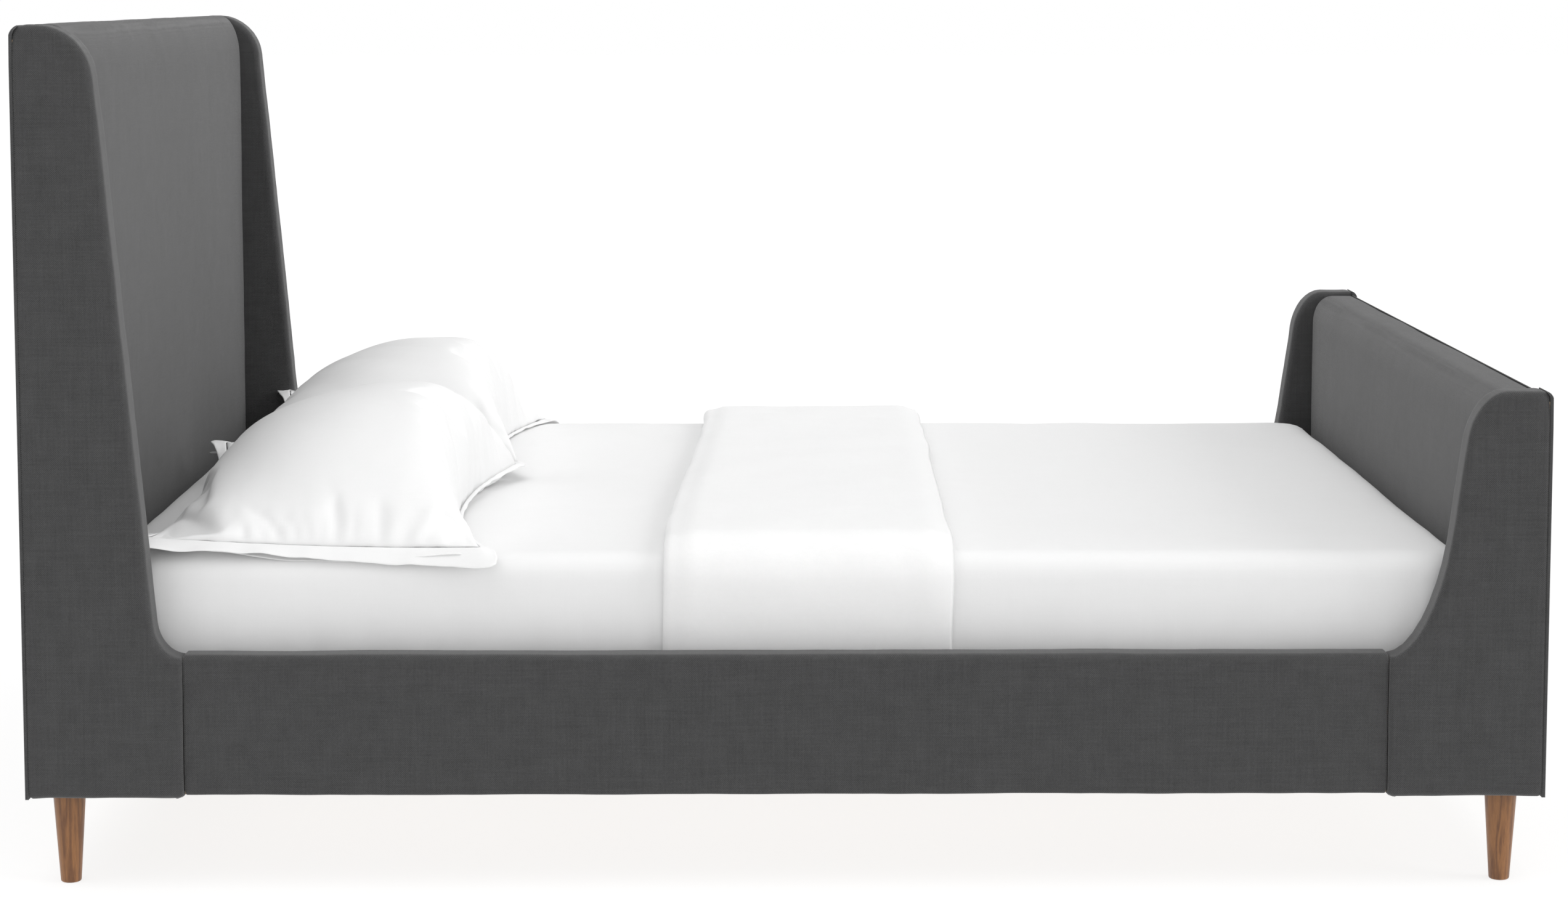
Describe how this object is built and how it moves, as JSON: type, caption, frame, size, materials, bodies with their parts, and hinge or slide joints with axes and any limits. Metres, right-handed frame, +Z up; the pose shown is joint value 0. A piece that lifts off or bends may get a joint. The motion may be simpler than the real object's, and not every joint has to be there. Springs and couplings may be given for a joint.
{
  "type": "sleigh bed",
  "caption": "Upholstered sleigh bed with tall winged headboard, low winged footboard, padded side rails, tapered wooden legs, slats, mattress and bedding.",
  "frame": {"origin": "on the floor under the middle of the bed", "axes": "+X along the bed from headboard to footboard, +Y across the bed, +Z up"},
  "size_m": [2.235, 1.66, 1.27],
  "materials": {
    "charcoal_fabric": "woven charcoal upholstery fabric, matt",
    "white_cotton": "smooth white cotton sheeting",
    "white_quilt": "soft white folded blanket",
    "walnut_wood": "walnut stained, satin lacquer",
    "pale_timber": "planed pine, unfinished",
    "zinc_steel": "zinc plated",
    "black_plastic": "moulded, satin"
  },
  "bodies": {
    "bed_frame": {"beam_seat_footboard": "zinc_steel", "beam_seat_headboard": "zinc_steel", "bolt_footboard_left_rail": "zinc_steel", "bolt_footboard_left_wing": "zinc_steel", "bolt_footboard_right_rail": "zinc_steel", "bolt_footboard_right_wing": "zinc_steel", "bolt_headboard_left_rail": "zinc_steel", "bolt_headboard_left_wing": "zinc_steel", "bolt_headboard_right_rail": "zinc_steel", "bolt_headboard_right_wing": "zinc_steel", "centre_beam": "pale_timber", "centre_post_foot": "pale_timber", "centre_post_head": "pale_timber", "footboard_back_cover": "charcoal_fabric", "footboard_leg_left": "walnut_wood", "footboard_leg_right": "walnut_wood", "footboard_pad": "charcoal_fabric", "footboard_panel": "pale_timber", "footboard_wing_core_left": "pale_timber", "footboard_wing_core_right": "pale_timber", "footboard_wing_cover_left": "charcoal_fabric", "footboard_wing_cover_right": "charcoal_fabric", "headboard_back_cover": "charcoal_fabric", "headboard_leg_left": "walnut_wood", "headboard_leg_right": "walnut_wood", "headboard_pad": "charcoal_fabric", "headboard_panel": "pale_timber", "headboard_wing_core_left": "pale_timber", "headboard_wing_core_right": "pale_timber", "headboard_wing_cover_left": "charcoal_fabric", "headboard_wing_cover_right": "charcoal_fabric", "rail_bracket_footboard_left": "zinc_steel", "rail_bracket_footboard_right": "zinc_steel", "rail_bracket_headboard_left": "zinc_steel", "rail_bracket_headboard_right": "zinc_steel", "side_rail_board_left": "pale_timber", "side_rail_board_right": "pale_timber", "side_rail_cover_left": "charcoal_fabric", "side_rail_cover_right": "charcoal_fabric", "slat_01": "pale_timber", "slat_02": "pale_timber", "slat_03": "pale_timber", "slat_04": "pale_timber", "slat_05": "pale_timber", "slat_06": "pale_timber", "slat_07": "pale_timber", "slat_08": "pale_timber", "slat_09": "pale_timber", "slat_10": "pale_timber", "slat_11": "pale_timber", "slat_12": "pale_timber", "slat_ledger_left": "pale_timber", "slat_ledger_right": "pale_timber"},
    "mattress": {"mattress": "white_cotton"},
    "pillow_left": {"pillow_left": "white_cotton"},
    "pillow_right": {"pillow_right": "white_cotton"},
    "folded_blanket": {"folded_blanket": "white_quilt"},
    "levelling_foot_head": {"levelling_foot_head": "black_plastic"},
    "levelling_foot_foot": {"levelling_foot_foot": "black_plastic"}
  },
  "joints": [
    {"name": "mattress_lift", "type": "slide", "parent": "bed_frame", "child": "mattress", "axis": [0, 0, 1], "range_m": [0, 0.6]},
    {"name": "pillow_left_lift", "type": "slide", "parent": "mattress", "child": "pillow_left", "axis": [0, 0, 1], "range_m": [0, 0.35]},
    {"name": "pillow_right_lift", "type": "slide", "parent": "mattress", "child": "pillow_right", "axis": [0, 0, 1], "range_m": [0, 0.35]},
    {"name": "blanket_lift", "type": "slide", "parent": "mattress", "child": "folded_blanket", "axis": [0, 0, 1], "range_m": [0, 0.35]},
    {"name": "levelling_foot_head_screw", "type": "slide", "parent": "bed_frame", "child": "levelling_foot_head", "axis": [0, 0, 1], "range_m": [-0.01, 0.01]},
    {"name": "levelling_foot_foot_screw", "type": "slide", "parent": "bed_frame", "child": "levelling_foot_foot", "axis": [0, 0, 1], "range_m": [-0.01, 0.01]}
  ]
}
